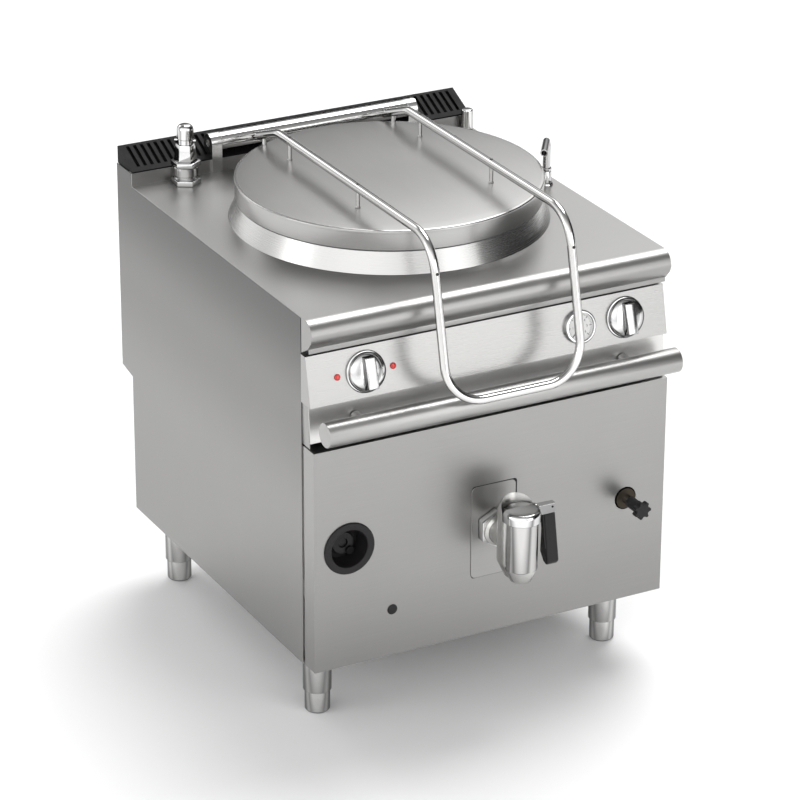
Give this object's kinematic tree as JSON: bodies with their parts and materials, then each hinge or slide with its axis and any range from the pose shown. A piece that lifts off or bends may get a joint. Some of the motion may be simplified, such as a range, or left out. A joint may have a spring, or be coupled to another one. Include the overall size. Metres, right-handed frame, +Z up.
{
  "type": "steam jacketed kettle",
  "caption": "Free-standing steam jacketed boiling kettle: a round vessel in a steel cabinet, with a hinged lid on a bent tube handle, a draw-off tap and a tilted control panel.",
  "frame": {"origin": "on the floor, under the middle of the whole object's plan outline", "axes": "+Z up; -Y out of the control side; +X to the right of a person who faces the controls"},
  "size_m": [0.8, 1.055, 1.041],
  "materials": {
    "steel_sheet": "fine brushed stainless sheet",
    "lid_steel": "satin pressed stainless sheet",
    "satin_tube": "satin stainless tube",
    "polished_steel": "bright polished stainless",
    "chrome": "chromed brass",
    "brass_fitting": "dark fitting",
    "black_enamel": "black enamel",
    "black_plastic": "black moulded heat-resistant plastic",
    "seal_rubber": "food-grade rubber",
    "red_lens": "red lens",
    "gauge_glass": "flat clear glass"
  },
  "bodies": {
    "cabinet": {"base_pan": "steel_sheet", "side_panel_left": "steel_sheet", "side_panel_right": "steel_sheet", "rear_panel": "steel_sheet", "worktop": "steel_sheet", "vent_grille_left": "black_enamel", "vent_grille_right": "black_enamel", "control_panel": "steel_sheet", "lower_fascia": "steel_sheet", "front_panel": "steel_sheet", "handle_rail": "satin_tube", "kettle_collar": "steel_sheet", "kettle_vessel": "steel_sheet", "jacket_shell": "steel_sheet", "heating_element": "polished_steel", "strainer": "polished_steel", "discharge_pipe": "steel_sheet", "hinge_strap_left": "steel_sheet", "hinge_strap_right": "steel_sheet", "tap_plate": "steel_sheet", "tap_nut": "chrome", "tap_body": "chrome", "tap_bonnet": "chrome", "level_valve_body": "brass_fitting", "recess_cup": "black_plastic", "sight_plug": "black_plastic", "bezel_left": "chrome", "bezel_right": "chrome", "switch_left": "black_plastic", "switch_right": "black_plastic", "lamp_left": "red_lens", "lamp_right": "red_lens", "gauge_case": "chrome", "gauge_glass": "gauge_glass", "valve_stem": "chrome", "valve_bonnet": "chrome", "spout_base": "chrome", "corner_post": "polished_steel", "sleeve_front_left": "polished_steel", "sleeve_front_right": "polished_steel", "sleeve_rear_left": "polished_steel", "sleeve_rear_right": "polished_steel"},
    "lid": {"lid": "lid_steel", "lid_seal": "seal_rubber", "lid_handle_frame": "polished_steel", "hinge_tube": "polished_steel"},
    "knob_left": {"knob_left": "chrome"},
    "knob_right": {"knob_right": "chrome"},
    "tap_lever": {"tap_lever": "chrome", "tap_grip": "black_plastic"},
    "star_wheel": {"star_wheel": "black_plastic"},
    "water_spout": {"water_spout": "chrome"},
    "valve_cap": {"valve_cap": "chrome"},
    "reset_button": {"reset_button": "black_plastic"},
    "gauge_needle": {"gauge_needle": "black_enamel"},
    "foot_front_left": {"foot_front_left": "polished_steel"},
    "foot_front_right": {"foot_front_right": "polished_steel"},
    "foot_rear_left": {"foot_rear_left": "polished_steel"},
    "foot_rear_right": {"foot_rear_right": "polished_steel"}
  },
  "joints": [
    {"name": "lid_hinge", "type": "hinge", "parent": "cabinet", "child": "lid", "pos_m": [0, 0.46655, 0.958], "axis": [-1, 0, 0], "range_deg": [0, 85]},
    {"name": "knob_left_turn", "type": "hinge", "parent": "cabinet", "child": "knob_left", "pos_m": [-0.275, -0.35463, 0.76996], "axis": [0, 0.9774, -0.2113], "range_deg": [0, 270]},
    {"name": "knob_right_turn", "type": "hinge", "parent": "cabinet", "child": "knob_right", "pos_m": [0.306, -0.35463, 0.76996], "axis": [0, 0.9774, -0.2113], "range_deg": [-90, 90]},
    {"name": "tap_lever_lift", "type": "hinge", "parent": "cabinet", "child": "tap_lever", "pos_m": [0, -0.47245, 0.458], "axis": [-1, 0, 0], "range_deg": [0, 90]},
    {"name": "star_wheel_turn", "type": "hinge", "parent": "cabinet", "child": "star_wheel", "pos_m": [0.308, -0.43135, 0.379], "axis": [0, -1, 0], "range_deg": [0, 360]},
    {"name": "spout_swivel", "type": "hinge", "parent": "cabinet", "child": "water_spout", "pos_m": [0.368, 0.06955, 0.9355], "axis": [0, 0, 1], "range_deg": [-113, 30]},
    {"name": "valve_cap_lift", "type": "slide", "parent": "cabinet", "child": "valve_cap", "axis": [0, 0, 1], "range_m": [0, 0.003], "stiffness_N_per_m": 2000},
    {"name": "reset_button_push", "type": "slide", "parent": "cabinet", "child": "reset_button", "axis": [0, 1, 0], "range_m": [0, 0.003], "stiffness_N_per_m": 600},
    {"name": "gauge_needle_turn", "type": "hinge", "parent": "cabinet", "child": "gauge_needle", "pos_m": [0.2008, -0.35463, 0.76996], "axis": [0, 0.9774, -0.2113], "range_deg": [0, 270]},
    {"name": "foot_front_left_level", "type": "slide", "parent": "cabinet", "child": "foot_front_left", "axis": [0, 0, -1], "range_m": [0, 0.03]},
    {"name": "foot_front_right_level", "type": "slide", "parent": "cabinet", "child": "foot_front_right", "axis": [0, 0, -1], "range_m": [0, 0.03]},
    {"name": "foot_rear_left_level", "type": "slide", "parent": "cabinet", "child": "foot_rear_left", "axis": [0, 0, -1], "range_m": [0, 0.03]},
    {"name": "foot_rear_right_level", "type": "slide", "parent": "cabinet", "child": "foot_rear_right", "axis": [0, 0, -1], "range_m": [0, 0.03]}
  ]
}
